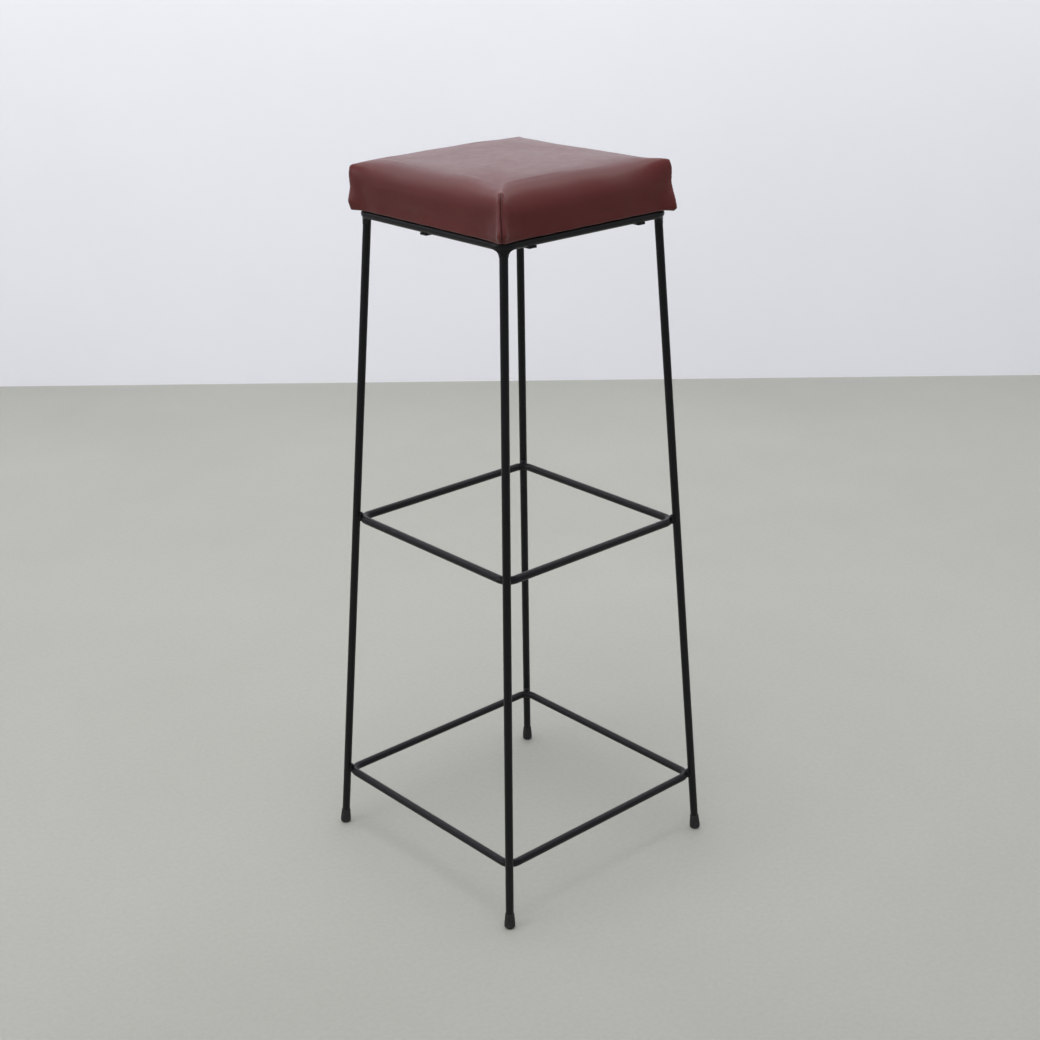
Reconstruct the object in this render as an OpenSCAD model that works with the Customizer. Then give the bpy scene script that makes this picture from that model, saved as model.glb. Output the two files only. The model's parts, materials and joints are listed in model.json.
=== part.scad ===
// Bar stool: a frame of welded round steel rod with a footrest ring and a square padded seat.
// All sizes are in millimetres. The origin is on the floor at the middle of the stool,
// +Z is up and the front of the stool faces -Y.

/* [Rods] */
// Diameter of every rod in the frame
rod_d = 10; // [8:0.5:11]
// Centre-line radius of the ring bends
bend_r = 14; // [12:0.5:18]

/* [Legs] */
// Half the distance between leg centre lines at the floor
foot_half = 169; // [155:1:185]
// Half the distance between leg centre lines at the seat ring
top_half = 122; // [120:0.5:123]

/* [Rings] */
// Height of the seat ring's centre line
seat_ring_z = 840; // [700:5:900]
// Half the side of the seat ring, centre line to centre line
seat_ring_half = 128; // [127:0.5:129]
// Height of the footrest ring's centre line
footrest_z = 449; // [300:1:560]
// Height of the lower ring's centre line
lower_ring_z = 82; // [60:1:160]

/* [Seat] */
// Half the side of the plywood board
board_half = 134; // [132:0.5:140]
// Thickness of the plywood board
board_t = 12; // [9:1:15]
// Thickness of the foam pad
foam_t = 45; // [30:1:60]
// Thickness of the seat cover
cover_t = 1; // [0.8:0.1:1.6]
// Radius of the pad's top edges
top_edge_r = 16; // [8:0.5:18]
// Half the side of the opening left by the cover's hem
hem_half = 111; // [106:0.5:113]

/* [Seat lugs] */
// Width of a seat lug along the ring
lug_w = 11; // [10:0.5:14]
// Thickness of a seat lug
lug_t = 2.5; // [2:0.5:4]
// Distance from the ring's centre line to the screw hole
lug_hole_in = 20; // [18:0.5:22]
// Sideways place of the front and back lugs
lug_side = 86; // [60:1:95]
// Place of the left and right lugs along the ring
lug_mid = 7; // [-20:1:20]

/* [Screws and staples] */
// Diameter of the screw shank
screw_d = 4; // [3.5:0.1:4.5]
// Depth of the screw in the board
screw_bite = 8.5; // [6:0.5:9]
// Number of staples on each side
staples_per_side = 6; // [4:1:7]

/* [Foot caps] */
// Height of a foot cap
cap_h = 20; // [17:0.5:24]
// Largest radius of a foot cap
cap_r = 6.8; // [6.6:0.1:7.6]
// Rubber left under the end of the rod
cap_floor = 4.5; // [3:0.5:6]

/* [Hidden] */
$fn = 96;
rod_r = rod_d / 2;
// Sideways travel of a leg for each unit of height
lean = (foot_half - top_half) / seat_ring_z;
// Angle between a leg and the vertical
tilt = atan(lean * sqrt(2));
// Height of the middle of a leg's top end, up inside the seat ring's rod
leg_top_z = seat_ring_z - 0.6 * rod_r;
// Air between a leg and the ring that is welded to it
weld_gap = 0.15;
board_z = seat_ring_z + rod_r + cover_t;
foam_z = board_z + board_t;
foam_top = foam_z + foam_t;
board_corner_r = 6;
lug_z = seat_ring_z - rod_r - lug_t;
lug_overhang = 2.5;
screw_head_r = 4.2;
screw_head_h = 2.6;
screw_len = board_z + screw_bite - lug_z;
screw_tip = 3;
staple_w = 10;
staple_wire_w = 1;
staple_wire_t = 0.5;
staple_leg = 7;
staple_in = board_half - 17.5;
cap_top_r = rod_r + 0.65;
cap_roll_r = 3.4;
cap_bore_gap = 0.05;
fillet_h = 8.5;
fillet_w = 9.5;
fillet_sink = 1.2;
fillet_toe = 0.4;
fillet_band = 7;
bead_r = 3.8;
bead_root_r = 4.6;

// Half side of a ring that lies inside the four legs at height z
function inner_ring_half(z) =
  ((foot_half - lean * z) * sqrt(2) - (rod_d + weld_gap) / cos(tilt) - bend_r) / sqrt(2) + bend_r;

footrest_half = inner_ring_half(footrest_z);
lower_ring_half = inner_ring_half(lower_ring_z);

// Puts its children in the frame of one leg: the leg's centre line is the local Z axis
// and local zero is where that line meets the floor.
module on_leg(side_x, side_y) {
  translate([side_x * foot_half, side_y * foot_half, 0])
    rotate([0, tilt, atan2(-side_y, -side_x)])
      children();
}

// A length of leg rod between two heights above the floor
module leg_rod(side_x, side_y, low_z, high_z) {
  on_leg(side_x, side_y)
    translate([0, 0, low_z / cos(tilt)])
      cylinder(h = (high_z - low_z) / cos(tilt), d = rod_d);
}

// One rounded corner of a ring, in the quarter where X and Y are positive
module ring_bend(half) {
  translate([half - bend_r, half - bend_r, 0])
    rotate_extrude(angle = 90)
      translate([bend_r, 0])
        circle(d = rod_d);
}

// One straight side of a ring, on +Y
module ring_side(half) {
  translate([-(half - bend_r), half, 0])
    rotate([0, 90, 0])
      cylinder(h = 2 * (half - bend_r), d = rod_d);
}

// A closed ring bent from one rod
module rod_ring(half, z) {
  translate([0, 0, z])
    for (quarter = [0 : 3])
      rotate([0, 0, 90 * quarter]) {
        ring_bend(half);
        ring_side(half);
      }
}

// A leg from inside its foot cap up to the seat ring, notched to sit under the ring's bend
module leg(side_x, side_y) {
  color([0.04, 0.04, 0.045])
    difference() {
      leg_rod(side_x, side_y, cap_floor, leg_top_z);
      translate([0, 0, seat_ring_z])
        rotate([0, 0, atan2(side_y, side_x) - 45])
          ring_bend(seat_ring_half);
    }
}

module leg_front_left() {
  leg(-1, -1);
}

module leg_front_right() {
  leg(1, -1);
}

module leg_back_left() {
  leg(-1, 1);
}

module leg_back_right() {
  leg(1, 1);
}

module seat_ring() {
  color([0.04, 0.04, 0.045])
    rod_ring(seat_ring_half, seat_ring_z);
}

module footrest_ring() {
  color([0.04, 0.04, 0.045])
    rod_ring(footrest_half, footrest_z);
}

module lower_ring() {
  color([0.04, 0.04, 0.045])
    rod_ring(lower_ring_half, lower_ring_z);
}

// Turns and moves its children to a lug's place: local X runs along the ring,
// local +Y points to the middle of the stool and local zero is on the ring's centre line.
module at_lug(turn, along) {
  rotate([0, 0, turn])
    translate([along, -seat_ring_half, 0])
      children();
}

// The lugs as [turn about Z, place along the ring]
lug_front_left_at = [0, -lug_side];
lug_front_right_at = [0, lug_side];
lug_back_left_at = [180, lug_side];
lug_back_right_at = [180, -lug_side];
lug_left_at = [-90, -lug_mid];
lug_right_at = [90, lug_mid];
lug_places = [
  lug_front_left_at, lug_front_right_at, lug_back_left_at,
  lug_back_right_at, lug_left_at, lug_right_at
];

// A flat plate welded under the ring, with a hole for a wood screw
module lug(place) {
  color([0.05, 0.05, 0.055])
    at_lug(place[0], place[1])
      translate([0, 0, lug_z])
        linear_extrude(height = lug_t)
          difference() {
            union() {
              translate([-lug_w / 2, -lug_overhang])
                square([lug_w, lug_hole_in + lug_overhang]);
              translate([0, lug_hole_in])
                circle(d = lug_w);
            }
            translate([0, lug_hole_in])
              circle(d = screw_d + 0.6);
          }
}

module lug_front_left() {
  lug(lug_front_left_at);
}

module lug_front_right() {
  lug(lug_front_right_at);
}

module lug_back_left() {
  lug(lug_back_left_at);
}

module lug_back_right() {
  lug(lug_back_right_at);
}

module lug_left() {
  lug(lug_left_at);
}

module lug_right() {
  lug(lug_right_at);
}

// Hollow flared collar of weld around a leg, just under the seat ring
module fillet_collar() {
  steps = 5;
  top = 0.4 * rod_r;
  flare = [
    for (i = [0 : steps])
      let (turn = 90 * i / steps)
        [rod_r + fillet_w - (fillet_w - fillet_toe) * cos(turn),
         (fillet_h + fillet_sink) * sin(turn) - fillet_h]
  ];
  rotate_extrude()
    polygon(concat([[0, -fillet_h]], flare, [[rod_r + fillet_w, top], [0, top]]));
}

// The upright strip of space that holds one bend of the seat ring
module bend_band() {
  low = 3 * rod_r;
  translate([seat_ring_half - bend_r, seat_ring_half - bend_r, seat_ring_z - low])
    difference() {
      cylinder(h = low - 0.6 * rod_r, r = bend_r + fillet_band / 2);
      translate([0, 0, -1])
        cylinder(h = low + 2, r = bend_r - fillet_band / 2);
    }
}

// The fillets that join one leg top to the seat ring, for the leg at the back right
module corner_fillets() {
  difference() {
    intersection() {
      on_leg(1, 1)
        translate([0, 0, (seat_ring_z - rod_r) / cos(tilt)])
          fillet_collar();
      bend_band();
    }
    leg_rod(1, 1, seat_ring_z - 40, seat_ring_z + 10);
    translate([seat_ring_half - bend_r, seat_ring_half - bend_r, seat_ring_z])
      rotate_extrude()
        translate([bend_r, 0])
          circle(d = rod_d);
  }
}

// The fillets of all four leg tops
module welds_seat_ring() {
  color([0.05, 0.05, 0.055])
    for (quarter = [0 : 3])
      rotate([0, 0, 90 * quarter])
        corner_fillets();
}

// Beads that join a ring to the inside of the four legs, round the point where they meet and above
module ring_beads(half, z) {
  meet = (half - bend_r) + (bend_r + rod_r) / sqrt(2);
  color([0.05, 0.05, 0.055])
    difference() {
      for (side_x = [-1, 1], side_y = [-1, 1])
        translate([side_x * meet, side_y * meet, z]) {
          sphere(r = bead_root_r);
          translate([0, 0, bead_r + 0.7])
            sphere(r = bead_r);
        }
      for (side_x = [-1, 1], side_y = [-1, 1])
        leg_rod(side_x, side_y, z - 30, z + 30);
      rod_ring(half, z);
    }
}

module welds_footrest_ring() {
  ring_beads(footrest_half, footrest_z);
}

module welds_lower_ring() {
  ring_beads(lower_ring_half, lower_ring_z);
}

// A bead in the corner between each lug and the ring
module welds_lugs() {
  bead_d = 6.4;
  bead_in = 4.3;
  color([0.05, 0.05, 0.055])
    for (place = lug_places)
      at_lug(place[0], place[1])
        difference() {
          translate([-lug_w / 2 + 1, bead_in, seat_ring_z - rod_r + 1.6])
            rotate([0, 90, 0])
              cylinder(h = lug_w - 2, d = bead_d);
          translate([-lug_w, 0, seat_ring_z])
            rotate([0, 90, 0])
              cylinder(h = 2 * lug_w, d = rod_d);
          translate([-lug_w, -bead_d, seat_ring_z - rod_r - bead_d])
            cube([2 * lug_w, 4 * bead_d, bead_d]);
        }
}

// Rubber cap on the end of a leg, worn flat where it stands on the floor
module foot_cap(side_x, side_y) {
  shoulder = 6.5;
  chamfer = 0.6;
  color([0.03, 0.03, 0.03])
    difference() {
      on_leg(side_x, side_y)
        rotate_extrude()
          union() {
            translate([cap_r - cap_roll_r, cap_roll_r - 0.2])
              circle(r = cap_roll_r);
            translate([0, -2])
              square([cap_r - cap_roll_r, 3]);
            polygon([
              [0, cap_roll_r - 0.2],
              [cap_r, cap_roll_r - 0.2],
              [cap_r, shoulder],
              [cap_top_r, cap_h - chamfer],
              [cap_top_r - chamfer, cap_h],
              [0, cap_h]
            ]);
            square([cap_r - cap_roll_r, cap_roll_r]);
          }
      on_leg(side_x, side_y)
        translate([0, 0, cap_floor / cos(tilt)])
          cylinder(h = cap_h, r = rod_r + cap_bore_gap);
      translate([side_x * foot_half, side_y * foot_half, -10])
        cube([40, 40, 20], center = true);
    }
}

module foot_cap_front_left() {
  foot_cap(-1, -1);
}

module foot_cap_front_right() {
  foot_cap(1, -1);
}

module foot_cap_back_left() {
  foot_cap(-1, 1);
}

module foot_cap_back_right() {
  foot_cap(1, 1);
}

// A square of half side half with corners of radius corner_r
module rounded_square(half, corner_r) {
  square([2 * half, 2 * (half - corner_r)], center = true);
  square([2 * (half - corner_r), 2 * half], center = true);
  for (side_x = [-1, 1], side_y = [-1, 1])
    translate([side_x * (half - corner_r), side_y * (half - corner_r)])
      circle(r = corner_r);
}

// Side view of a padded block with rounded top edges
module pad_profile(half, low_z, high_z, edge_r) {
  translate([-half, low_z])
    square([2 * half, high_z - low_z - edge_r]);
  translate([-(half - edge_r), low_z])
    square([2 * (half - edge_r), high_z - low_z]);
  for (side = [-1, 1])
    translate([side * (half - edge_r), high_z - edge_r])
      circle(r = edge_r);
}

// A padded block: square in plan, with rounded upright corners and rounded top edges
module padded_block(half, low_z, high_z, edge_r, corner_r) {
  intersection() {
    translate([0, 0, low_z - 1])
      linear_extrude(height = high_z - low_z + 2)
        rounded_square(half, corner_r);
    rotate([90, 0, 0])
      linear_extrude(height = 2 * half + 4, center = true)
        pad_profile(half, low_z, high_z, edge_r);
    rotate([90, 0, 90])
      linear_extrude(height = 2 * half + 4, center = true)
        pad_profile(half, low_z, high_z, edge_r);
  }
}

// Plywood board with blind screw holes in its underside and the staples' slots
module seat_board() {
  color([0.72, 0.56, 0.38])
    difference() {
      translate([0, 0, board_z])
        linear_extrude(height = board_t)
          rounded_square(board_half, board_corner_r);
      for (place = lug_places)
        at_lug(place[0], place[1])
          translate([0, lug_hole_in, board_z - 1])
            cylinder(h = screw_bite + 1, d = screw_d);
      staple_legs();
    }
}

module foam_pad() {
  color([0.85, 0.80, 0.62])
    padded_block(board_half, foam_z, foam_top, top_edge_r - cover_t, board_corner_r);
}

// Cover drawn over foam and board, with its hem turned in under the board
module seat_cover() {
  color([0.27, 0.10, 0.09])
    difference() {
      padded_block(board_half + cover_t, board_z - cover_t, foam_top + cover_t,
        top_edge_r, board_corner_r + cover_t);
      padded_block(board_half, board_z, foam_top, top_edge_r - cover_t, board_corner_r);
      translate([0, 0, board_z])
        cube([2 * hem_half, 2 * hem_half, 4 * cover_t], center = true);
      staple_legs();
    }
}

// Pan-head wood screws, driven up through the lugs into the board
module lug_screws() {
  slot_w = 0.9;
  slot_len = 4.6;
  color([0.55, 0.56, 0.58])
    for (place = lug_places)
      at_lug(place[0], place[1])
        translate([0, lug_hole_in, lug_z])
          difference() {
            rotate_extrude()
              polygon([
                [0, -screw_head_h],
                [screw_head_r * 0.62, -screw_head_h],
                [screw_head_r * 0.88, -screw_head_h * 0.72],
                [screw_head_r, -screw_head_h * 0.3],
                [screw_head_r, 0],
                [screw_d / 2, 0],
                [screw_d / 2, screw_len - screw_tip],
                [0.4, screw_len - 0.2],
                [0, screw_len - 0.2]
              ]);
            for (turn = [0, 90])
              rotate([0, 0, turn + 20])
                translate([0, 0, -screw_head_h])
                  cube([slot_len, slot_w, 2.4], center = true);
          }
}

// Runs its children once at each staple: local X lies along the seat's edge
module at_staples() {
  spacing = 2 * (board_half - 24) / (staples_per_side - 1);
  for (quarter = [0 : 3])
    rotate([0, 0, 90 * quarter])
      for (i = [0 : staples_per_side - 1])
        translate([(i - (staples_per_side - 1) / 2) * spacing, -staple_in, board_z - cover_t])
          children();
}

// The legs of all staples, which pass through the hem into the board
module staple_legs() {
  at_staples()
    for (side = [-1, 1])
      translate([side * (staple_w - staple_wire_t) / 2, 0, staple_leg / 2])
        cube([staple_wire_t, staple_wire_w, staple_leg], center = true);
}

module hem_staples() {
  color([0.62, 0.62, 0.64])
    union() {
      staple_legs();
      at_staples()
        translate([0, 0, -staple_wire_t / 2])
          cube([staple_w, staple_wire_w, staple_wire_t], center = true);
    }
}

leg_front_left();
leg_front_right();
leg_back_left();
leg_back_right();
seat_ring();
footrest_ring();
lower_ring();
lug_front_left();
lug_front_right();
lug_back_left();
lug_back_right();
lug_left();
lug_right();
welds_seat_ring();
welds_footrest_ring();
welds_lower_ring();
welds_lugs();
foot_cap_front_left();
foot_cap_front_right();
foot_cap_back_left();
foot_cap_back_right();
seat_board();
foam_pad();
seat_cover();
lug_screws();
hem_staples();
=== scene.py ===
import json
import math

import bpy
import numpy as np
from mathutils import Matrix, Vector
from mathutils.kdtree import KDTree


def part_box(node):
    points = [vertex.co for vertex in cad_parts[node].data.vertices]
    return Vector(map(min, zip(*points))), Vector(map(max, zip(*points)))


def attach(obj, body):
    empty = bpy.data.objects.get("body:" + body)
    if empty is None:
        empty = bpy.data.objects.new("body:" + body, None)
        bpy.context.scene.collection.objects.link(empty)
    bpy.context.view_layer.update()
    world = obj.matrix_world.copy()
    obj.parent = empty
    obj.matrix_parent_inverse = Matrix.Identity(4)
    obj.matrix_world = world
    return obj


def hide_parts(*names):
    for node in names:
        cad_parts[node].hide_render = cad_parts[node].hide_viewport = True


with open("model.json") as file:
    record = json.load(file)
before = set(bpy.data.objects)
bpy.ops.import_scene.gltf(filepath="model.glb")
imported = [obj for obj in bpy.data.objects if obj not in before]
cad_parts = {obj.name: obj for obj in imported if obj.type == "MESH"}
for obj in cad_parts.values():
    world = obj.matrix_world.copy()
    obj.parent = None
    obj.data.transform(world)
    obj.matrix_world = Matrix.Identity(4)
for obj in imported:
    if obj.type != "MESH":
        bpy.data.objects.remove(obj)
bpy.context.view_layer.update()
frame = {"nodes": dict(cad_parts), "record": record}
scene = bpy.context.scene
scene.view_settings.view_transform = "Standard"
scene.view_settings.look = "None"

# ---------------------------------------------------------------- materials


class Shade:
    """A node material being built: makes nodes and wires them to the shader."""

    def __init__(self, name):
        self.mat = bpy.data.materials.new(name)
        self.mat.use_nodes = True
        self.tree = self.mat.node_tree
        self.bsdf = self.tree.nodes["Principled BSDF"]
        self.coord = self.tree.nodes.new("ShaderNodeTexCoord").outputs["Object"]

    def node(self, kind, **values):
        made = self.tree.nodes.new(kind)
        for key, value in values.items():
            if hasattr(made, key):
                setattr(made, key, value)
            else:
                made.inputs[key.replace("_", " ")].default_value = value
        return made

    def link(self, source, target):
        self.tree.links.new(source, target)

    def stretched(self, scale):
        """The object's coordinates, scaled by a different amount along each axis."""
        made = self.node("ShaderNodeMapping")
        made.inputs["Scale"].default_value = scale
        self.link(self.coord, made.inputs["Vector"])
        return made.outputs["Vector"]

    def noise(self, scale, detail=3.0, rough=0.5, coord=None, warp=0.0):
        made = self.node("ShaderNodeTexNoise", Scale=scale, Detail=detail,
                         Roughness=rough, Distortion=warp)
        self.link(coord or self.coord, made.inputs["Vector"])
        return made.outputs["Fac"]

    def cells(self, scale, feature="DISTANCE_TO_EDGE"):
        made = self.node("ShaderNodeTexVoronoi", feature=feature, Scale=scale)
        self.link(self.coord, made.inputs["Vector"])
        return made.outputs["Distance"]

    def span(self, value, low, high, to_low=0.0, to_high=1.0):
        made = self.node("ShaderNodeMapRange")
        for slot_name, number in (("From Min", low), ("From Max", high),
                                  ("To Min", to_low), ("To Max", to_high)):
            made.inputs[slot_name].default_value = number
        self.link(value, made.inputs["Value"])
        return made.outputs["Result"]

    def math(self, operation, a, b):
        made = self.node("ShaderNodeMath", operation=operation)
        for socket, value in zip(made.inputs, (a, b)):
            if isinstance(value, (int, float)):
                socket.default_value = value
            else:
                self.link(value, socket)
        return made.outputs["Value"]

    def mix(self, factor, a, b):
        """Mixes two colours; each is a colour or another node's output."""
        made = self.node("ShaderNodeMix", data_type="RGBA")
        factor_socket, colour_a, colour_b, colour_out = 0, 6, 7, 2
        self.link(factor, made.inputs[factor_socket])
        for socket, value in ((made.inputs[colour_a], a), (made.inputs[colour_b], b)):
            if isinstance(value, tuple):
                socket.default_value = (*value, 1.0)
            else:
                self.link(value, socket)
        return made.outputs[colour_out]

    def attribute(self, name):
        made = self.node("ShaderNodeAttribute")
        made.attribute_name = name
        return made.outputs["Fac"]

    def bump(self, height, distance, strength=1.0, under=None):
        made = self.node("ShaderNodeBump", Strength=strength, Distance=distance)
        self.link(height, made.inputs["Height"])
        if under is not None:
            self.link(under, made.inputs["Normal"])
        return made.outputs["Normal"]

    def finish(self, colour=None, rough=None, normal=None, **constants):
        for socket, value in (("Base Color", colour), ("Roughness", rough), ("Normal", normal)):
            if value is not None:
                self.link(value, self.bsdf.inputs[socket])
        for key, value in constants.items():
            self.bsdf.inputs[key.replace("_", " ")].default_value = value
        return self.mat


def black_paint(name, weld=False):
    """Satin black brushed or sprayed paint on steel, with faint wear and dust."""
    s = Shade(name)
    cloud = s.noise(38.0, 4.0, 0.6)
    fine = s.noise(900.0, 2.0)
    streak = s.noise(60.0, 3.0, coord=s.stretched((1.0, 1.0, 0.12)))
    dust = s.span(streak, 0.52, 0.78, 0.0, 0.6)
    colour = s.mix(dust, (0.0038, 0.0040, 0.0052), (0.0095, 0.0098, 0.0112))
    chips = s.span(s.noise(240.0, 5.0, 0.62), 0.70, 0.73)
    colour = s.mix(chips, colour, (0.035, 0.033, 0.032))
    rough = s.math("ADD", s.span(cloud, 0.3, 0.7, 0.27, 0.38), s.math("MULTIPLY", dust, 0.1))
    height = s.math("ADD", s.math("MULTIPLY", fine, 0.25), s.noise(170.0, 3.0))
    if weld:
        ripple = s.noise(420.0, 2.0, warp=0.6)
        normal = s.bump(ripple, 0.0006, 0.9, s.bump(height, 0.00012, 0.5))
    else:
        normal = s.bump(height, 0.00012, 0.4)
    return s.finish(colour, rough, normal, Metallic=0.0, IOR=1.33)


def cap_rubber():
    """Black rubber, scuffed all over and dusty where it meets the floor."""
    s = Shade("cap_rubber")
    grain = s.noise(1300.0, 3.0)
    scuff = s.span(s.noise(160.0, 5.0, 0.65), 0.5, 0.75)
    low = s.node("ShaderNodeSeparateXYZ")
    s.link(s.coord, low.inputs["Vector"])
    dusty = s.span(low.outputs["Z"], 0.0, 0.006, 0.8, 0.0)
    colour = s.mix(s.math("MULTIPLY", scuff, 0.5), (0.017, 0.017, 0.0172), (0.044, 0.043, 0.042))
    colour = s.mix(s.math("MULTIPLY", dusty, scuff), colour, (0.12, 0.115, 0.105))
    rough = s.span(s.noise(300.0, 3.0), 0.3, 0.7, 0.5, 0.72)
    return s.finish(colour, rough, s.bump(grain, 0.0002, 0.35), IOR=1.35)


def plywood(thick_low, thick_high):
    """Birch plywood: grain on the faces, thin plies round the edge."""
    s = Shade("plywood")
    rings = s.node("ShaderNodeTexWave", wave_type="BANDS", bands_direction="Y", Scale=9.0,
                   Distortion=9.0, Detail=4.0, Detail_Scale=0.9)
    s.link(s.stretched((0.32, 1.0, 1.0)), rings.inputs["Vector"])
    pores = s.noise(420.0, 4.0, 0.6, coord=s.stretched((0.05, 1.0, 1.0)))
    face = s.mix(s.span(rings.outputs["Fac"], 0.1, 0.95), (0.52, 0.36, 0.20), (0.40, 0.245, 0.12))
    face = s.mix(s.span(pores, 0.56, 0.72, 0.0, 0.65), face, (0.22, 0.12, 0.055))
    height = s.node("ShaderNodeSeparateXYZ")
    s.link(s.coord, height.inputs["Vector"])
    ply = s.math("MULTIPLY", s.span(height.outputs["Z"], thick_low, thick_high, 0.0, 3.5), math.tau)
    dark_ply = s.span(s.math("SINE", ply, 0.0), -0.3, 0.3)
    edge = s.mix(dark_ply, (0.47, 0.32, 0.18), (0.25, 0.14, 0.065))
    turned = s.node("ShaderNodeNewGeometry")
    up = s.node("ShaderNodeSeparateXYZ")
    s.link(turned.outputs["True Normal"], up.inputs["Vector"])
    side = s.span(s.math("ABSOLUTE", up.outputs["Z"], 0.0), 0.4, 0.6, 1.0, 0.0)
    colour = s.mix(side, face, edge)
    stain = s.span(s.noise(14.0, 3.0), 0.45, 0.75, 0.0, 0.35)
    colour = s.mix(stain, colour, (0.30, 0.19, 0.10))
    rough = s.span(pores, 0.3, 0.7, 0.55, 0.75)
    return s.finish(colour, rough, s.bump(pores, 0.0003, 0.4), IOR=1.45)


def zinc_steel():
    """Zinc plated screws and staples with a cloudy bloom."""
    s = Shade("zinc_steel")
    bloom = s.noise(500.0, 4.0, 0.6)
    colour = s.mix(s.span(bloom, 0.35, 0.7), (0.50, 0.51, 0.53), (0.36, 0.35, 0.32))
    rough = s.span(bloom, 0.3, 0.7, 0.26, 0.46)
    return s.finish(colour, rough, s.bump(s.noise(1500.0, 2.0), 0.0001, 0.4), Metallic=1.0)


# Colours of the cover: plain, in its cloudy patches, where it is rubbed and where a sheen is painted
# on, and down in its seams
BURGUNDY = (0.107, 0.0168, 0.0152)
BURGUNDY_DEEP = (0.088, 0.0134, 0.0122)
BURGUNDY_WORN_AND_SHEEN = (0.145, 0.037, 0.036)
BURGUNDY_SEAM = (0.022, 0.004, 0.0035)
COVER_ROUGH = 0.33
COVER_IOR = 1.34
COVER_COAT = 0.24            # most that its topcoat shines
COAT_IOR = 1.6
COAT_ROUGH = 0.27


def leatherette():
    """Burgundy coated cloth: fine pebbled grain, soft sheen, darker in its seams."""
    s = Shade("leatherette")
    seam = s.attribute("seam")
    # how much the cover is rubbed, together with a painted sheen and painted highlights by the seams
    edge = s.attribute("wear_and_sheen")
    pebble = s.cells(900.0, "F1")
    crease = s.cells(420.0)
    fine = s.noise(2600.0, 2.0)
    cloud = s.noise(9.0, 4.0, 0.55)
    mottle = s.noise(70.0, 4.0, 0.6)
    colour = s.mix(s.span(cloud, 0.32, 0.68), BURGUNDY_DEEP, BURGUNDY)
    colour = s.mix(s.span(mottle, 0.4, 0.75, 0.0, 0.3), colour, BURGUNDY_DEEP)
    # lighter where rubbed along the roll, and a painted sheen and painted highlights by the seams and
    # on their folds
    colour = s.mix(s.math("MULTIPLY", edge, s.span(mottle, 0.3, 0.65, 0.5, 1.0)), colour,
                   BURGUNDY_WORN_AND_SHEEN)
    colour = s.mix(seam, colour, BURGUNDY_SEAM)
    grain = s.math("ADD", s.span(pebble, 0.0, 0.6, 1.0, 0.0), s.span(crease, 0.0, 0.12, 0.0, 0.8))
    rough = s.math("ADD", s.span(cloud, 0.3, 0.7, COVER_ROUGH - 0.03, COVER_ROUGH + 0.04),
                   s.span(mottle, 0.35, 0.75, 0.0, 0.06))
    rough = s.math("ADD", rough, s.math("MULTIPLY", seam, 0.2))
    normal = s.bump(grain, 0.00006, 0.35)
    normal = s.bump(fine, 0.00003, 0.25, normal)
    normal = s.bump(s.noise(26.0, 3.0), 0.0006, 0.2, normal)
    # the topcoat shines when it is looked at along the surface, and little from in front
    facing = s.node("ShaderNodeLayerWeight", Blend=0.5)
    s.link(s.span(facing.outputs["Facing"], 0.30, 0.62, 0.0, COVER_COAT),
           s.bsdf.inputs["Coat Weight"])
    return s.finish(colour, rough, normal, IOR=COVER_IOR, Coat_IOR=COAT_IOR,
                    Coat_Roughness=COAT_ROUGH)


board_lo, board_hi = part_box("seat_board")
finishes = {
    "frame_paint": black_paint("frame_paint_satin"),
    "weld_paint": black_paint("weld_paint_satin", weld=True),
    "foot_rubber": cap_rubber(),
    "board_plywood": plywood(board_lo.z, board_hi.z),
    "zinc_steel": zinc_steel(),
}
cover_finish = leatherette()
slot_of = {row["node"]: row["material_slot"] for row in frame["record"]["subparts"]}
for node_name, node_object in frame["nodes"].items():
    finish = finishes.get(slot_of[node_name])
    if finish is None:
        continue
    if not node_object.material_slots:
        node_object.data.materials.append(finish)
    for slot in node_object.material_slots:
        slot.material = finish

# ---------------------------------------------------------------- seat cushion: measures

cover_lo, cover_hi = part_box("seat_cover")
BOTTOM = cover_lo.z          # underside of the hem, on the seat ring
SIDE = cover_hi.x - 0.0004   # half width of the slack cover between its corners
FLAT = cover_hi.z - 0.0022   # top of the slack cover
HEM_IN = 0.111               # half width of the opening in the hem
SKIN = board_lo.z - BOTTOM   # thickness of the cover
LOW_R = 0.0022               # radius where the cover turns under the board
FAN = 0.104                  # centre of the fan of columns round each corner
IN_R = 0.004                 # radius at which that fan starts
INNER = FAN + IN_R           # half width of the flat part of the top
CORNERS = ((-1, -1), (1, -1), (1, 1), (-1, 1))  # front left, front right, back right, back left

# Each corner's seam as (height above the hem, half width at the seam), in metres
SEAM_PROFILE = (
    ((0.0, 0.1352), (0.009, 0.1372), (0.020, 0.1362), (0.030, 0.1350), (0.040, 0.1330),
     (0.048, 0.1342), (0.056, 0.1345)),
    ((-0.002, 0.1356), (0.004, 0.1376), (0.0113, 0.1362), (0.0195, 0.1342), (0.029, 0.1326),
     (0.044, 0.1329), (0.0555, 0.1313), (0.058, 0.1305)),
    ((0.0, 0.1352), (0.008, 0.1366), (0.027, 0.1350), (0.044, 0.1356), (0.056, 0.1354)),
    ((0.0, 0.1362), (0.0097, 0.1381), (0.027, 0.1359), (0.044, 0.1362), (0.056, 0.1362)),
)
TIP_SLOPE = (0.30, 0.5, 0.5, 0.5)               # how steep the top is where each seam ends
SEAM_RADIUS = (0.0050, 0.008, 0.006, 0.008)     # rounding of each corner in plan
SEAM_FLARE = 0.017                              # how far along the sides a seam's half width is felt
EAR_LIFT = (-0.0010, 0.0025, -0.0007, -0.0023)  # how far each corner's top stands up
EAR_WIDTH = (0.036, 0.020, 0.028, 0.030)        # how wide each of these ears is
EAR_AT = 0.131                                  # half width at which the ears stand
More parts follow.
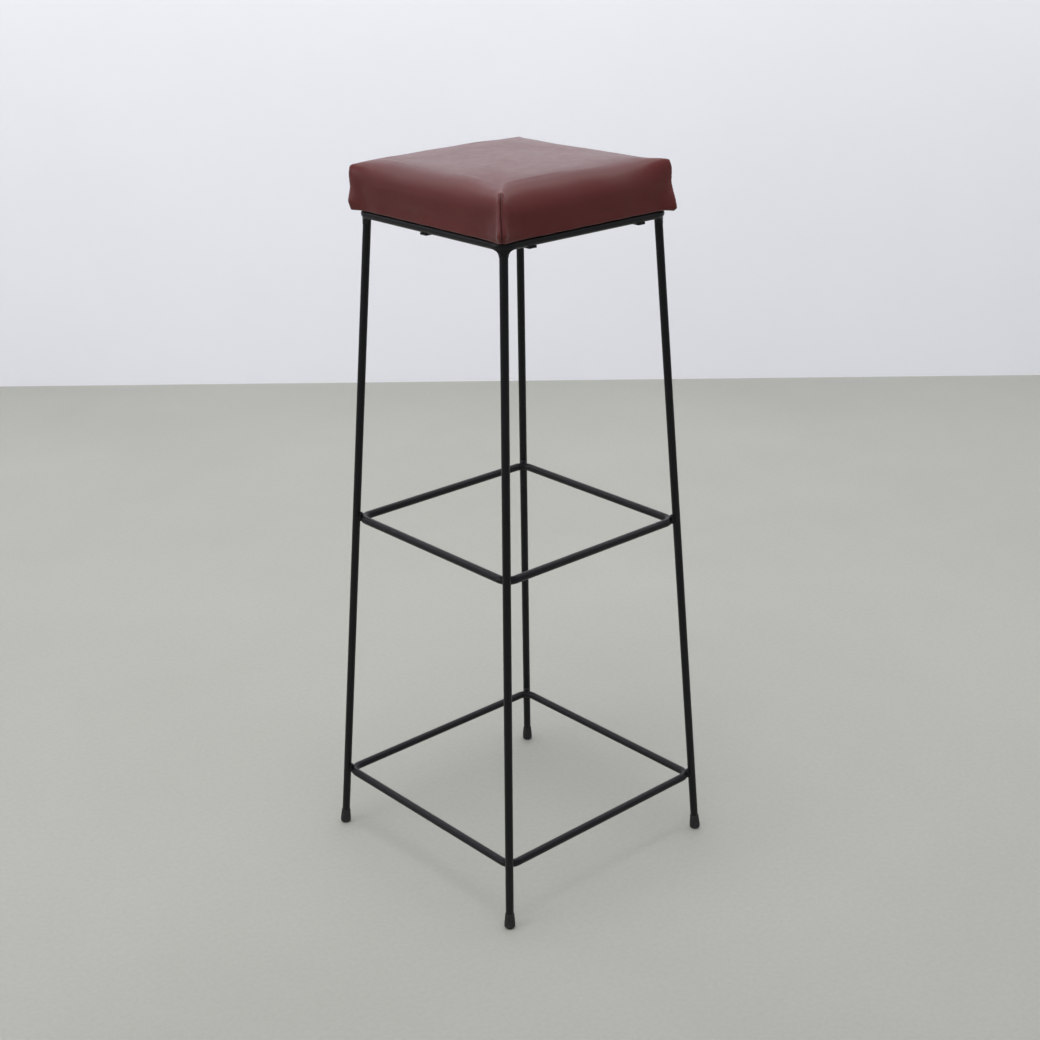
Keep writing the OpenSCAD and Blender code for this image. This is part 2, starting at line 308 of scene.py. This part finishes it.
EAR_POWER = (1.9, 7.0, 5.0, 5.5)                # how pointed each corner's top is
EAR_SPREAD = (0.016, 0.022, 0.024, 0.036)       # how far along the sides that is felt
DROOP = (0.0005, 0.0022, 0.0006, 0.0010)        # how far each corner hangs down at its hem
# For the front, right, back and left side
SIDE_ROLL = (0.0265, 0.0185, 0.0175, 0.0210)    # height of the roll
SIDE_POWER = (1.78, 3.0, 3.1, 2.6)              # how tight the roll is: 2 is an ellipse
SIDE_BULGE = (0.0004, 0.0022, 0.0024, 0.0006)   # how far the side's middle stands out up high
# How high the worn top stands over its plain level, as rows of three from the front left to the
# back right, and the half width at which those points lie
TOP_RISE = ((0.0015, 0.0025, 0.0010), (0.0002, 0.0008, -0.0012), (0.0004, 0.0006, 0.0001))
RISE_AT = 0.125

# How finely the cover is meshed
ROLL_ROWS = 22
SIDE_ROWS = 24
LOW_ROWS = 5
HEM_ROWS = 6
FIRST_GAP, MOST_GAP = 0.0022, 0.0046    # between the columns of a side, from its corner to its middle
LEAST_X = 0.0012                        # between a side's middle column and the next
CORNER_GAP = 0.0018                     # between the columns that go round a corner
CROWDING = 0.35                         # how much the roll's rows draw together, at least
EASING = 75                  # rounds of smoothing on the top and the roll

# The swelling of the cover as cloth
VOXEL = 0.0048               # size of its coarse mesh
PRESSURE = 4.0
HELD = 0.012                 # it is held this close to its hem and its seams
NEAREST, NEAR = 10, 0.006    # how many coarse points the fine ones follow, and how closely
MOST_UP = 0.0046             # limits on how far the cloth's movement is followed
MOST_OUT = 0.0012
FRAMES = 20                  # how long it swells

# The sewing, in metres
GROOVE, GROOVE_WIDE = 0.0006, 0.0006    # the seam's groove
LIP, LIP_WIDE = 0.0002, 0.0013          # the cover bulging on both sides of it
LIP_RIGHT, LIP_LEFT = 0.0024, 0.0022    # how far from the seam that is
ALLOWANCE, ALLOWANCE_WIDE = 0.0005, 0.0052      # the folded seam allowance, which shows through
STITCH_RUN, STITCH_DEEP = 0.0042, 0.0002
STITCH_AT = 0.0016                      # how far from the seam the stitches draw the cover in
KNOT, KNOT_WIDE = 0.0005, 0.0016        # the knot at the top end of a seam
PUCKER, PUCKER_WIDE = 0.0015, 0.0011    # two short folds that run down from the knot
PUCKER_LONG = 0.012
PLEAT = 0.0010                          # low pleats next to the seam, over the hem
PLEAT_AT, PLEAT_WIDE, PLEAT_UP = 0.0042, 0.0022, 0.010
TUCK = 0.0012                           # how far the near corner tucks in at its hem
SLACK_WAVE, SLACK_FINE = 0.0004, 0.00015        # the cover's unevenness, wide and small
HEM_WAVE, HEM_WAVES = 0.0003, 22        # waves along the foot of the sides, all the way round
HEM_RIPPLE, HEM_RIPPLES = 0.00012, 57   # ripples of the hem under the board
TOP_LUMP, TOP_LUMP_WIDE = 0.0005, 0.035         # low unevenness of the top


def new_object(name, verts, faces):
    mesh = bpy.data.meshes.new(name)
    mesh.from_pydata([tuple(v) for v in verts], [], faces)
    mesh.update()
    made = bpy.data.objects.new(name, mesh)
    scene.collection.objects.link(made)
    return made


def coords(mesh):
    points = np.empty(len(mesh.vertices) * 3)
    mesh.vertices.foreach_get("co", points)
    return points.reshape(-1, 3)


def bell(x, width):
    return np.exp(-((x / width) ** 2))


def ramp(x, low, high):
    t = np.clip((x - low) / (high - low), 0, 1)
    return t * t * (3 - 2 * t)


def lumps(seed, points, scale, count=9):
    """Smooth, repeatable unevenness, about -1 to 1, at each point."""
    r = np.random.default_rng(seed)
    waves = r.normal(size=(count, points.shape[-1])) / scale
    phases = r.uniform(0, math.tau, count)
    return np.sin(points @ waves.T + phases).sum(-1) / math.sqrt(count / 2) / 1.6


def reach(x0, y0, nx, ny, half, radius):
    """Distance from (x0, y0) along (nx, ny) to a square of that half width and corner radius."""
    x0, y0, nx, ny = np.abs(x0), np.abs(y0), np.abs(nx), np.abs(ny)
    with np.errstate(divide="ignore"):
        straight = np.minimum((half - x0) / np.maximum(nx, 1e-9), (half - y0) / np.maximum(ny, 1e-9))
    x, y = x0 + straight * nx, y0 + straight * ny
    c = half - radius
    b = nx * (x0 - c) + ny * (y0 - c)
    k = (x0 - c) ** 2 + (y0 - c) ** 2 - radius ** 2
    arc = -b + np.sqrt(np.maximum(b * b - k, 0))
    return np.where((x > c) & (y > c), arc, straight)


# ---------------------------------------------------------------- seat cushion: slack skin


def half_side():
    """Columns from the middle of the front side (0) to the seam of its right corner, each as
    (x, y, nx, ny, distance from the seam)."""
    run, at, gap = [], FAN, FIRST_GAP
    while at > LEAST_X:
        run.append(at)
        at -= gap
        gap = min(gap * 1.1, MOST_GAP)
    corner_cut = 0.0021      # how much shorter the way round the corner is than the way into it
    points = [(x, -INNER, 0.0, -1.0, SIDE - corner_cut - x) for x in [0.0] + run[::-1]]
    radius = 0.005           # of the slack cover's corner
    arc = radius * math.pi / 4
    full = arc + SIDE - radius - FAN
    # distances from the seam, closest together next to it
    steps = [0.0, 0.00045, 0.0009, 0.0014, 0.002, 0.0027, 0.0035, 0.0044, 0.0055, 0.0067, 0.008]
    while steps[-1] + CORNER_GAP < full - 0.001:
        steps.append(steps[-1] + CORNER_GAP)
    for step in steps[::-1]:
        if step < arc:
            angle = math.radians(45) + step / radius
            x, y = (SIDE - radius + radius * f(angle) for f in (math.cos, math.sin))
        else:
            x, y = SIDE - radius - (step - arc), SIDE
        nx, ny = x - FAN, y - FAN
        size = math.hypot(nx, ny)
        nx, ny = nx / size, -ny / size
        points.append((FAN + IN_R * nx, -FAN + IN_R * ny, nx, ny, step))
    return points


right_half = half_side()
left_half = [(-x, y, -nx, ny, s) for x, y, nx, ny, s in right_half[1:]][::-1]
one_side = (left_half + right_half)[:-1]
PER_SIDE = len(one_side)
turned = []
for turn in range(4):
    c, s = (1, 0, -1, 0)[turn], (0, 1, 0, -1)[turn]
    turned += [(c * x - s * y, s * x + c * y, c * nx - s * ny, s * nx + c * ny, d)
               for x, y, nx, ny, d in one_side]
cols = np.array(turned)
X0, Y0, NX, NY = cols[:, :4].T
n_cols = len(cols)
column = np.arange(n_cols)
corner_of = ((column + PER_SIDE // 2) // PER_SIDE) % 4
after_seam = (column - corner_of * PER_SIDE) % n_cols < n_cols // 2
seam_d = np.where(after_seam, 1, -1) * cols[:, 4]
near_seam = bell(seam_d, 0.013)


def by_corner(table):
    return np.array(table)[corner_of]


side_weight = np.clip(np.stack([-NY, NX, NY, -NX]), 0, 1) ** 2


def by_side(table):
    return (side_weight * np.array(table)[:, None]).sum(0) / side_weight.sum(0)


roll_v = by_side(SIDE_ROLL)
power = by_side(SIDE_POWER)
power += (by_corner(EAR_POWER) - power) * bell(seam_d, by_corner(EAR_SPREAD))


def half_width(z):
    """Half width of the cover at each column for a height: the seam's, easing to the side's."""
    at_seam = np.empty(n_cols)
    for k in range(4):
        heights, widths = zip(*SEAM_PROFILE[k])
        mine = corner_of == k
        at_seam[mine] = np.interp(z[mine] - BOTTOM, heights, widths)
    at_seam = at_seam + (1 - math.sqrt(0.5)) * by_corner(SEAM_RADIUS)
    middle = SIDE + by_side(SIDE_BULGE) * ramp(z - BOTTOM, 0.012, 0.036) * ramp(
        np.abs(seam_d), 0.0, 0.06)
    return middle + (at_seam - middle) * bell(seam_d, SEAM_FLARE)


def place(distance, z):
    return np.stack([X0 + NX * distance, Y0 + NY * distance, z], 1)


corner_r = by_corner(SEAM_RADIUS) + 0.004 * (1 - bell(seam_d, 0.02))
centre_z = FLAT - roll_v
rows = []
for i in range(ROLL_ROWS + 1):
    t = math.radians(90 * (1 - i / ROLL_ROWS))
    a = reach(X0, Y0, NX, NY, half_width(centre_z), corner_r)
    theta = np.full(n_cols, t)
    if 0 < i < ROLL_ROWS:    # the rows crowd towards the bend, most of all near a seam
        crowded = np.arctan2(roll_v * math.sin(t) ** (2 / power), a * math.cos(t) ** (2 / power))
        theta += (crowded - t) * (CROWDING + CROWDING * near_seam)
    radial = ((np.cos(theta) / a) ** power + (np.sin(theta) / roll_v) ** power) ** (-1 / power)
    out, z = radial * np.cos(theta), centre_z + radial * np.sin(theta)
    # the further out a point lies, the more it follows the cover's width at its own height
    wider = reach(X0, Y0, NX, NY, half_width(z), corner_r) - a
    out = out + wider * (out / a) ** 6
    rows.append(place(out, z))
for i in range(1, SIDE_ROWS + 1):
    z = centre_z + (BOTTOM + LOW_R - centre_z) * i / SIDE_ROWS
    rows.append(place(reach(X0, Y0, NX, NY, half_width(z), corner_r), z))
for i in range(1, LOW_ROWS + 1):
    t = math.radians(90 * i / LOW_ROWS)
    z = np.full(n_cols, BOTTOM + LOW_R * (1 - math.sin(t)))
    distance = reach(X0, Y0, NX, NY, half_width(z), corner_r) - LOW_R * (1 - math.cos(t))
    rows.append(place(distance, z))
BODY_ROWS = len(rows)
low_ring = rows[-1]
for i in range(1, HEM_ROWS + 1):
    t = i / HEM_ROWS
    line = low_ring.copy()
    line[:, :2] = low_ring[:, :2] * (1 - t) + cols[:, :2] * (HEM_IN / INNER) * t
    rows.append(line)
lip = rows[-1].copy()
lip[:, 2] = BOTTOM + SKIN
closing = lip.copy()         # a last ring just inside the lip keeps its edge crisp
closing[:, :2] *= 0.985
closing[:, 2] += 0.0006
rows += [lip, closing]
skin = np.array(rows)


def ring_at(half, radius, share):
    """Points on a rounded square, share 0 to 1 going round from the front left corner."""
    quarter = 2 * (half - radius) + math.pi * radius / 2
    turn = np.floor(share * 4).astype(int) % 4
    u = (share * 4 % 1) * quarter
    c = half - radius
    arc = math.pi * radius / 4
    first, last = u < arc, u > quarter - arc
    angle = np.where(first, math.radians(225) + u / radius,
                     math.radians(270) + (u - (quarter - arc)) / radius)
    x = np.where(first, -c + radius * np.cos(angle), np.where(last, c + radius * np.cos(angle),
                                                             -c + u - arc))
    y = np.where(first | last, -c + radius * np.sin(angle), -half)
    cos, sin = np.array((1, 0, -1, 0))[turn], np.array((0, 1, 0, -1))[turn]
    return np.stack([cos * x - sin * y, sin * x + cos * y], 1)


step = np.linalg.norm(np.roll(cols[:, :2], -1, 0) - cols[:, :2], axis=1)
own_share = np.concatenate([[0.0], np.cumsum(step)[:-1]]) / step.sum()
even_share = column / n_cols
# rings of the flat top, from the start of the roll inwards, further and further apart
top_rings = []
half, gap = INNER - 0.0016, 0.0018
while half > 0.004:
    t = 1 - half / INNER
    share = own_share + (even_share - own_share) * float(ramp(t, 0.0, 0.3))
    xy = ring_at(half, IN_R + (half * 0.8 - IN_R) * float(ramp(t, 0.05, 0.9)), share)
    top_rings.append(np.column_stack([xy, np.full(n_cols, FLAT)]))
    half -= gap
    gap = min(gap * 1.08, 0.0052)
n_top = len(top_rings)
rings = np.concatenate([np.array(top_rings[::-1]), skin])
n_rings = len(rings)
faces = []
for r in range(n_rings - 1):
    for c in range(n_cols):
        e = (c + 1) % n_cols
        faces.append((r * n_cols + c, (r + 1) * n_cols + c, (r + 1) * n_cols + e, r * n_cols + e))
top_middle = n_rings * n_cols
last = (n_rings - 1) * n_cols
for c in range(n_cols):
    e = (c + 1) % n_cols
    faces.append((c, e, top_middle))
    faces.append((last + e, last + c, top_middle + 1))
slack = np.concatenate([rings.reshape(-1, 3),
                        [(0, 0, FLAT), (0, 0, BOTTOM + SKIN + 0.0006)]])

# ---------------------------------------------------------------- seat cushion: swelling


def applied(source, name):
    """A new object with the modifiers of another one carried out; the other one is removed."""
    graph = bpy.context.evaluated_depsgraph_get()
    mesh = bpy.data.meshes.new_from_object(source.evaluated_get(graph))
    made = bpy.data.objects.new(name, mesh)
    scene.collection.objects.link(made)
    bpy.data.objects.remove(source)
    return made


def swelling(points):
    """Blows up a coarse copy of the slack cover as cloth, held along its hem and its corner
    seams, and returns how far that moves each of the points."""
    coarse = new_object("pad_coarse", points, faces)
    remesh = coarse.modifiers.new("even", "REMESH")
    remesh.mode = "VOXEL"
    remesh.voxel_size = VOXEL
    coarse = applied(coarse, "pad_even")
    rest = coords(coarse.data)
    to_side = SIDE - np.abs(rest[:, :2])
    at_corner = to_side.max(1) < HELD
    group = coarse.vertex_groups.new(name="hold")
    for index, point in enumerate(rest):
        if point[2] < BOTTOM + HELD:
            group.add([index], 1.0, "REPLACE")
        elif at_corner[index]:
            group.add([index], 0.8, "REPLACE")
    cloth = coarse.modifiers.new("cloth", "CLOTH")
    settings = cloth.settings
    settings.quality = 6
    settings.mass = 0.25
    settings.tension_stiffness = settings.compression_stiffness = 28
    settings.shear_stiffness = 8
    settings.bending_stiffness = 1.2
    settings.use_pressure = True
    settings.uniform_pressure_force = PRESSURE
    settings.vertex_group_mass = "hold"
    settings.effector_weights.gravity = 0.0
    for step_no in range(1, FRAMES + 1):
        scene.frame_set(step_no)
    coarse = applied(coarse, "pad_swollen")
    scene.frame_set(1)
    moved = coords(coarse.data) - rest
    bpy.data.objects.remove(coarse)
    level = np.linalg.norm(moved[:, :2], axis=1)
    moved[:, :2] *= (MOST_OUT * np.tanh(level / MOST_OUT) / np.maximum(level, 1e-9))[:, None]
    moved[:, 2] = MOST_UP * np.tanh(moved[:, 2] / MOST_UP)
    finder = KDTree(len(rest))
    for index, point in enumerate(rest):
        finder.insert(point, index)
    finder.balance()
    shift = np.zeros_like(points)
    for index, point in enumerate(points):
        near = finder.find_n(point, NEAREST)
        weight = np.array([math.exp(-(found[2] / NEAR) ** 2) for found in near]) + 1e-9
        shift[index] = (moved[[found[1] for found in near]] * weight[:, None]).sum(0) / weight.sum()
    return shift


shift = np.zeros_like(slack)
shift = swelling(slack)
grown = slack + shift * (slack[:, 2] > BOTTOM + LOW_R)[:, None]

# ---------------------------------------------------------------- seat cushion: sewing and wear

height = grown[:, 2] - BOTTOM
xy = grown[:, :2]
raised = ramp(height, 0.004, 0.040)
place_x, place_y = (np.stack([t * (t - 1) / 2, 1 - t * t, t * (t + 1) / 2])
                    for t in (xy / RISE_AT).T)
grown[:, 2] += np.einsum("yx,yn,xn->n", np.array(TOP_RISE), place_y, place_x) * raised
for k, (i, j) in enumerate(CORNERS):
    away = np.linalg.norm(xy - np.array((i, j)) * EAR_AT, axis=1)
    grown[:, 2] += EAR_LIFT[k] * bell(away, EAR_WIDTH[k]) * raised
on_top = slack[:, 2] > FLAT - 0.001
uneven = lumps(21, np.column_stack([xy, 0 * height]), TOP_LUMP_WIDE)
grown[:, 2] += TOP_LUMP * uneven * on_top * ramp(INNER - np.abs(xy).max(1), 0.0, 0.03)

# the top eases into the roll and the roll round each corner: all drawn towards their neighbours,
# but for the seams
grid = grown[:n_rings * n_cols].reshape(n_rings, n_cols, 3)
ring_no = np.arange(4, n_top + ROLL_ROWS + 6)
ease = ramp(ring_no, n_top - 16, n_top - 6) * ramp(ring_no, n_top + ROLL_ROWS + 5, n_top + 10)
ease = (0.5 * ease[:, None] * (1 - 0.85 * bell(seam_d, 0.004) * (ring_no > n_top + 6)[:, None]))
for _ in range(EASING):
    around = (grid[ring_no - 1] + grid[ring_no + 1] + np.roll(grid[ring_no], 1, 1)
              + np.roll(grid[ring_no], -1, 1)) / 4
    grid[ring_no] += ease[:, :, None] * (around - grid[ring_no])

body = grown[n_top * n_cols:(n_top + BODY_ROWS) * n_cols].reshape(BODY_ROWS, n_cols, 3)
rise = np.linalg.norm(np.diff(body, axis=0), axis=2)
up_seam = np.concatenate([rise[::-1].cumsum(0)[::-1], np.zeros((1, n_cols))])  # along each column
slope = np.abs(np.diff(body[:, :, 2], axis=0)) / np.maximum(rise, 1e-9)
tip = np.array([up_seam[np.argmax(slope[:, k * PER_SIDE] > TIP_SLOPE[k]), k * PER_SIDE]
                for k in range(4)])
below_tip = by_corner(tip)[None, :] - up_seam
normal = np.zeros_like(body)
normal[1:-1] = np.cross(np.roll(body, -1, 1)[1:-1] - np.roll(body, 1, 1)[1:-1],
                        body[:-2] - body[2:])
normal[0], normal[-1] = normal[1], normal[-2]
normal /= np.maximum(np.linalg.norm(normal, axis=2), 1e-12)[:, :, None]
h = body[:, :, 2] - BOTTOM
d = np.broadcast_to(seam_d, h.shape) + 0.0004 * lumps(13, np.stack(
    [h, corner_of[None] + 0 * h], -1), 0.012)
fine = lumps(11, body, 0.006)
slow = lumps(12, body, 0.022)
sewn = ramp(below_tip, -0.0005, 0.002)
clear = ramp(h, 0.0, 0.004)
push = -GROOVE * bell(d, GROOVE_WIDE) * sewn
lips = bell(d - LIP_RIGHT, LIP_WIDE) + bell(d + LIP_LEFT, LIP_WIDE + 0.0001)
push += LIP * lips * sewn * (1 + 0.5 * fine)
# the seam allowance lies to the left of each seam and shows through
allowance = ramp(d, -ALLOWANCE_WIDE, -ALLOWANCE_WIDE + 0.0012) * ramp(d, 0.0, -0.0010)
push += ALLOWANCE * allowance * sewn * clear * (0.8 + 0.35 * fine * ramp(below_tip, 0.03, 0.012))
stitches = np.sin(up_seam / STITCH_RUN * math.tau) * bell(np.abs(d) - STITCH_AT, 0.0009)
push += STITCH_DEEP * stitches * sewn
# where the seam ends at the top: a knot with two short folds running down from it
push += KNOT * bell(d, KNOT_WIDE) * bell(below_tip + KNOT_WIDE, KNOT_WIDE)
fold = bell(np.abs(d) - 0.0010 - 0.45 * below_tip, PUCKER_WIDE) * ramp(
    below_tip, PUCKER_LONG, 0.004)
push += PUCKER * fold * ramp(below_tip, -0.001, 0.001)
push += PLEAT * bell(np.abs(d) - PLEAT_AT, PLEAT_WIDE) * bell(h - PLEAT_UP, 0.007)
push -= TUCK * bell(d, 0.005) * bell(h - 0.002, 0.004) * (corner_of == 0)
push += SLACK_WAVE * slow * clear + SLACK_FINE * fine * bell(d, 0.03) * clear
push += HEM_WAVE * np.sin(own_share * HEM_WAVES * math.tau + 1.3) * bell(h - 0.006, 0.007)
body += normal * push[:, :, None]
tight = ramp(h, 0.024, 0.016)  # drawn over the board, so it can't lie further in than that
for axis in (0, 1):
    across = body[:, :, axis]
    mine = side_weight[1 - axis] + side_weight[3 - axis] > 0.5
    least = np.sign(across) * np.maximum(np.abs(across), SIDE - 0.0001 - LOW_R * ramp(h, LOW_R, 0))
    across += np.where(mine & (h >= 0.0004), (least - across) * tight, 0)
# the near seam is pulled a little to the left, most of all at its top
pulled = (corner_of == 0) * bell(seam_d, 0.03) * (0.0008 + 0.0012 * ramp(h, 0.01, 0.05))
leftward = np.array((-0.74, 0.67))
body[:, :, :2] += pulled[:, :, None] * leftward
body[:, :, 2] -= by_corner(DROOP) * bell(seam_d, 0.010) * ramp(h, 0.016, 0.0)
grown[n_top * n_cols:(n_top + BODY_ROWS) * n_cols] = body.reshape(-1, 3)
hem = grown[(n_top + BODY_ROWS) * n_cols:(n_top + BODY_ROWS + HEM_ROWS) * n_cols]
hem = hem.reshape(HEM_ROWS, n_cols, 3)
inward = np.linspace(0, 1, HEM_ROWS + 1)[1:, None]
ripple = np.sin(own_share * HEM_RIPPLES * math.tau) * np.sin(math.pi * inward)
hem[:, :, 2] += HEM_RIPPLE * ripple

cover = new_object("seat_cover_sewn", grown, faces)
mesh = cover.data
mesh.materials.append(cover_finish)
for polygon in mesh.polygons:
    polygon.use_smooth = True
seam_value, wear_and_sheen_value = np.zeros(len(grown)), np.zeros(len(grown))
span = slice(n_top * n_cols, (n_top + BODY_ROWS) * n_cols)
seam_value[span] = (bell(d, 0.00065) * sewn).ravel()
# it is lighter where rubbed along the roll; beside the seams half way up a sheen is painted on, and
# highlights are painted on the folds at their tips
rolled = bell(up_seam - up_seam[0] * 0.80, 0.010) * 0.15
corner_painted_sheen = bell(np.abs(d) - 0.0035, 0.0055) * ramp(h, 0.0, 0.012) * (
    0.3 + 0.7 * bell(h - 0.023, 0.011))
pucker_painted_highlight = fold * ramp(below_tip, -0.002, 0.001)
wear_and_sheen_value[span] = np.clip(rolled + corner_painted_sheen + 0.8 * pucker_painted_highlight, 0, 1).ravel()
for name, values in (("seam", seam_value), ("wear_and_sheen", wear_and_sheen_value)):
    layer = mesh.attributes.new(name, "FLOAT", "POINT")
    layer.data.foreach_set("value", values.astype(np.float32))
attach(cover, "root")
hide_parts("seat_cover", "foam_pad")

# ---------------------------------------------------------------- stage, light and camera


def plane(name, corners, material):
    """A flat piece of the stage."""
    made = new_object(name, corners, [(0, 1, 2, 3)])
    made.data.materials.append(material)
    return made


def stage_paint(name, base, other, rough, speck):
    """A plain painted surface that is only there from its front, so the underside of the stool
    can be looked at through the floor."""
    s = Shade(name)
    tone = s.span(s.noise(1.6, 5.0, 0.6), 0.35, 0.65)
    colour = s.mix(tone, base, other)
    grain = s.span(s.noise(150.0, 3.0, 0.7), 0.25, 0.75, 0.0, speck)
    colour = s.mix(grain, colour, tuple(0.6 * c for c in base))
    mat = s.finish(colour, s.span(s.noise(6.0, 3.0), 0.3, 0.7, rough, rough + 0.1), None, IOR=1.4)
    clear = s.node("ShaderNodeBsdfTransparent")
    sided = s.node("ShaderNodeNewGeometry")
    both = s.node("ShaderNodeMixShader")
    s.link(sided.outputs["Backfacing"], both.inputs[0])
    s.link(s.bsdf.outputs[0], both.inputs[1])
    s.link(clear.outputs[0], both.inputs[2])
    s.link(both.outputs[0], s.tree.nodes["Material Output"].inputs["Surface"])
    return mat


floor_paint = stage_paint("floor_screed", (0.400, 0.402, 0.362), (0.424, 0.426, 0.386), 0.6, 0.22)
wall_paint = stage_paint("wall_white", (0.87, 0.87, 0.92), (0.89, 0.89, 0.94), 0.8, 0.0)

# The camera, fitted to the straight lines of the frame: its lens in mm on a 36 mm sensor, where it
# stands, and which ways its right and its back point
LENS = 59.463
CAMERA_AT = Vector((-1.34937, -1.51014, 1.26123))
CAMERA_RIGHT = Vector((0.74111, -0.67131, -0.01031))
CAMERA_BACK = Vector((-0.62008, -0.69028, 0.37285))

camera_data = bpy.data.cameras.new("camera")
camera = bpy.data.objects.new("camera", camera_data)
scene.collection.objects.link(camera)
camera_data.sensor_width = 36.0
camera_data.lens = LENS
camera_data.clip_end = 60.0
right = CAMERA_RIGHT.normalized()
back = CAMERA_BACK.normalized()
up = back.cross(right).normalized()
camera.matrix_world = Matrix.Translation(CAMERA_AT) @ Matrix((right, up, back)).transposed().to_4x4()
scene.camera = camera

# The floor and the wall, square to the camera
WALL_AWAY = 4.06             # from the camera to the foot of the wall
FLOOR_DEEP = 9.0
ROOM_HALF = 6.0
WALL_HIGH = 4.5

away = Vector((-back.x, -back.y, 0)).normalized()
across = Vector((away.y, -away.x, 0))
wall_foot = Vector((CAMERA_AT.x, CAMERA_AT.y, 0)) + away * WALL_AWAY


def on_floor(forward, side, z=0.0):
    """A point given from the middle of the wall's foot: away from the camera, to its right, up."""
    p = wall_foot + away * forward + across * side
    return (p.x, p.y, z)


plane("floor", [on_floor(-FLOOR_DEEP, -ROOM_HALF), on_floor(-FLOOR_DEEP, ROOM_HALF),
                on_floor(0, ROOM_HALF), on_floor(0, -ROOM_HALF)], floor_paint)
plane("wall", [on_floor(0, -ROOM_HALF), on_floor(0, ROOM_HALF), on_floor(0, ROOM_HALF, WALL_HIGH),
               on_floor(0, -ROOM_HALF, WALL_HIGH)], wall_paint)


def area_light(name, place, target, size, watts, colour=(1, 1, 1), mirrored=True):
    data = bpy.data.lights.new(name, "AREA")
    data.shape = "RECTANGLE"
    data.size, data.size_y = size
    data.energy = watts
    data.color = colour
    made = bpy.data.objects.new(name, data)
    scene.collection.objects.link(made)
    made.location = place
    made.rotation_mode = "QUATERNION"
    made.rotation_quaternion = (Vector(target) - Vector(place)).to_track_quat("-Z", "Y")
    made.visible_glossy = mirrored
    return made


area_light("key_soft", on_floor(-2.4, -0.25, 3.2), (0, 0, 0.2), (1.3, 1.3), 23, mirrored=False)
area_light("wide_soft", on_floor(-3.2, 0.0, 3.6), (0, 0, 0), (5.0, 4.4), 25, mirrored=False)
area_light("wall_soft", on_floor(-1.0, 0.0, 2.6), on_floor(0, 0, 0.9), (10.0, 0.6), 62)
area_light("left_soft", on_floor(-3.4, -3.4, 1.8), (0, 0, 0.5), (2.2, 2.0), 28, (0.97, 0.985, 1.0))
area_light("near_soft", on_floor(-3.6, 0.0, 2.6), on_floor(-3.1, 0, 0), (3.0, 1.2), 9, mirrored=False)

world = bpy.data.worlds.new("studio")
scene.world = world
world.use_nodes = True
background = world.node_tree.nodes["Background"]
background.inputs["Color"].default_value = (0.93, 0.95, 1.0, 1.0)
background.inputs["Strength"].default_value = 0.48
